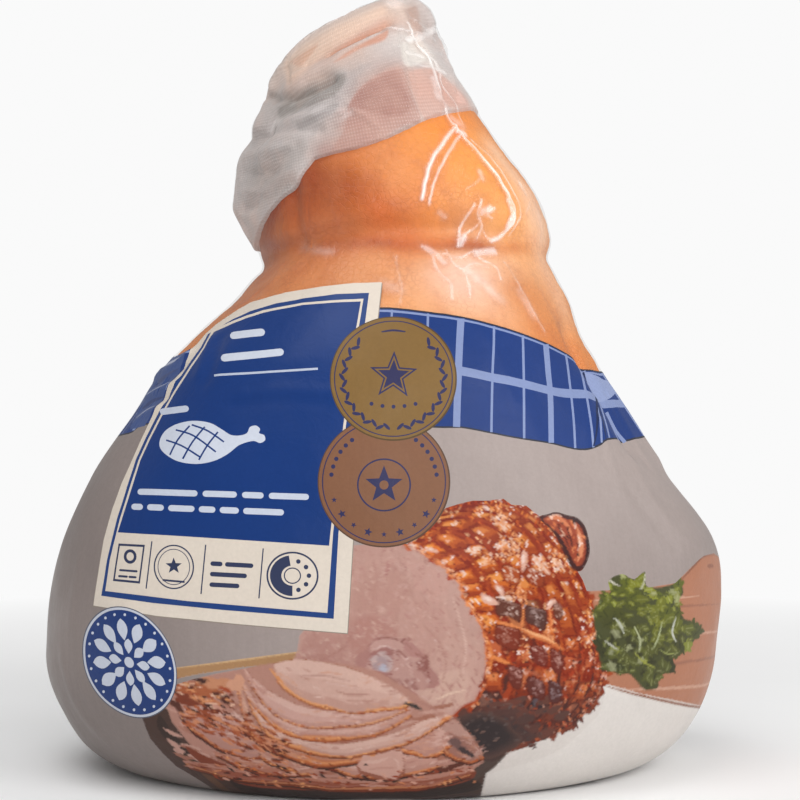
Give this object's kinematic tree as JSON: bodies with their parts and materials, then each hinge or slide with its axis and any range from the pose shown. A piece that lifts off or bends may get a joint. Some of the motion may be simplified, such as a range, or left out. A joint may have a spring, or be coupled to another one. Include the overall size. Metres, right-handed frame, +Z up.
{
  "type": "bagged half leg ham",
  "caption": "Half leg ham sealed in a printed shrink bag, standing on its cut face with the shank end up and a cloth guard wrapped over the bone.",
  "frame": {"origin": "middle of the footprint, on the plane the cut face stands on", "axes": "+Z up towards the shank end, -Y out of the printed front, +X to the viewer's right when facing the print"},
  "size_m": [0.2384, 0.1574, 0.277],
  "materials": {
    "film": "gloss, printed shrink film drawn tight over cooked ham",
    "cloth": "thin open-weave cloth, folded, under clear film"
  },
  "bodies": {
    "root": {"ham": "film", "bone_guard": "cloth"}
  },
  "joints": []
}
